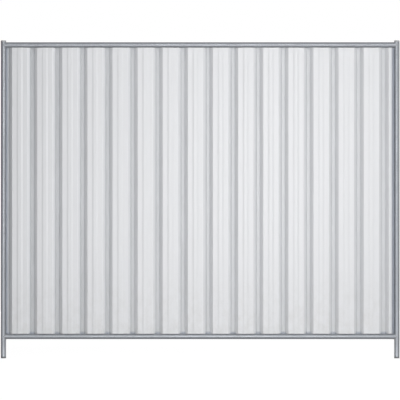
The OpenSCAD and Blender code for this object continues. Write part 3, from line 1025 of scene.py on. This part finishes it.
# Plugs
def plug_profile(head_r, head_h):
    """From the head's outer face, at minus head_h, to the end of the finned stem."""
    gate_h = GATE_DEPTH - head_h
    profile = [(0, gate_h), (GATE_R * GATE_FLOOR_SHARE, gate_h), (GATE_R, -head_h)]
    profile += [
        (RING_R, -head_h),
        (RING_R + RING_W / 2, RING_DEPTH - head_h),
        (RING_R + RING_W, -head_h),
    ]
    for i in range(PLUG_EDGE_STEPS + 1):
        angle = math.pi / 2 * i / PLUG_EDGE_STEPS
        profile.append((
            head_r - PLUG_EDGE * (1 - math.sin(angle)),
            PLUG_EDGE * (1 - math.cos(angle)) - head_h,
        ))
    core_r = PLUG_STEM_R - PLUG_FIN_DEPTH
    profile += [(head_r, 0), (core_r, 0)]
    fin_pitch = PLUG_STEM_H / PLUG_FINS
    for i in range(1, PLUG_FINS + 1):
        fin_end = i * fin_pitch
        profile += [(core_r, fin_end - PLUG_FIN_W), (PLUG_STEM_R, fin_end - PLUG_FIN_W), (core_r, fin_end)]
    return profile + [(0, PLUG_STEM_H)]


cap_profile = plug_profile(TUBE_R, PANEL_TOP_Z - POST_TOP_Z)
foot_profile = plug_profile(LEG_R, POST_LOW_Z)
for side, x in POST_X.items():
    cap = turn(cap_profile, TUBE_STEPS, lambda a, b, h: (x + a, -b, POST_TOP_Z - h))
    add_piece(f"top_{side}_plug_cap", cap, [cap_plastic], f"top_{side}_plug")
    foot = turn(foot_profile, TUBE_STEPS, lambda a, b, h: (x + a, b, POST_LOW_Z + h))
    add_piece(f"{side}_foot_plug_moulded", foot, [foot_plastic], f"{side}_foot_plug")


# Floor and background
def opaque(tone):
    return (tone, tone, tone, 1)


def seen_rays(tree):
    """One for rays from the camera, or mirrored or passed on to it."""
    path = tree.nodes.new("ShaderNodeLightPath")
    rays = path.outputs["Is Camera Ray"]
    for name in ("Is Glossy Ray", "Is Transmission Ray"):
        either = tree.nodes.new("ShaderNodeMath")
        either.operation = "MAXIMUM"
        tree.links.new(rays, either.inputs[0])
        tree.links.new(path.outputs[name], either.inputs[1])
        rays = either.outputs["Value"]
    return rays


def floor_material():
    material = bpy.data.materials.new("pale_floor")
    material.use_nodes = True
    tree = material.node_tree
    tree.nodes.clear()
    glow = tree.nodes.new("ShaderNodeEmission")
    glow.inputs["Strength"].default_value = FLOOR_GLOW
    shadowed = tree.nodes.new("ShaderNodeBsdfDiffuse")
    shadowed.inputs["Color"].default_value = opaque(FLOOR_SHADOW_TONE)
    bounce = tree.nodes.new("ShaderNodeBsdfDiffuse")
    bounce.inputs["Color"].default_value = opaque(FLOOR_BOUNCE_TONE)
    seen = tree.nodes.new("ShaderNodeAddShader")
    tree.links.new(glow.outputs["Emission"], seen.inputs[0])
    tree.links.new(shadowed.outputs["BSDF"], seen.inputs[1])
    mixed = tree.nodes.new("ShaderNodeMixShader")
    tree.links.new(seen_rays(tree), mixed.inputs["Fac"])
    tree.links.new(bounce.outputs["BSDF"], mixed.inputs[1])
    tree.links.new(seen.outputs["Shader"], mixed.inputs[2])
    out = tree.nodes.new("ShaderNodeOutputMaterial")
    tree.links.new(mixed.outputs["Shader"], out.inputs["Surface"])
    return material


floor_mesh = bpy.data.meshes.new("floor")
floor_points = [(FLOOR_HALF * u, FLOOR_HALF * v, 0) for u, v in FLOOR_CORNERS]
floor_mesh.from_pydata(floor_points, [], [tuple(range(len(floor_points)))])
floor_mesh.materials.append(floor_material())
floor = bpy.data.objects.new("floor", floor_mesh)
bpy.context.scene.collection.objects.link(floor)


def make_world():
    world = bpy.data.worlds.new("studio")
    world.use_nodes = True
    tree = world.node_tree
    tree.nodes.clear()
    ambient = tree.nodes.new("ShaderNodeBackground")
    ambient.inputs["Strength"].default_value = AMBIENT
    ambient.inputs["Color"].default_value = opaque(WHITE_TONE)
    white = tree.nodes.new("ShaderNodeBackground")
    white.inputs["Color"].default_value = opaque(WHITE_TONE)
    mixed = tree.nodes.new("ShaderNodeMixShader")
    tree.links.new(seen_rays(tree), mixed.inputs["Fac"])
    tree.links.new(ambient.outputs["Background"], mixed.inputs[1])
    tree.links.new(white.outputs["Background"], mixed.inputs[2])
    out = tree.nodes.new("ShaderNodeOutputWorld")
    tree.links.new(mixed.outputs["Shader"], out.inputs["Surface"])
    bpy.context.scene.world = world


make_world()


# Lamps and camera
def add_lamp(name, place, width, height, power):
    light = bpy.data.lights.new(name, "AREA")
    light.shape = "RECTANGLE"
    light.size = width
    light.size_y = height
    light.energy = power
    lamp = bpy.data.objects.new(name, light)
    lamp.location = place
    lamp.rotation_mode = "QUATERNION"
    lamp.rotation_quaternion = (LAMP_AIM - Vector(place)).to_track_quat("-Z", "Y")
    bpy.context.scene.collection.objects.link(lamp)


for name, settings in LAMPS.items():
    add_lamp(name, **settings)

camera_data = bpy.data.cameras.new("camera")
camera_data.lens = CAMERA_LENS
camera_data.sensor_width = CAMERA_SENSOR
camera = bpy.data.objects.new("camera", camera_data)
camera.location = CAMERA_PLACE
camera.rotation_euler = (math.pi / 2, 0, 0)
bpy.context.scene.collection.objects.link(camera)
bpy.context.scene.camera = camera
bpy.context.scene.view_settings.view_transform = "Standard"
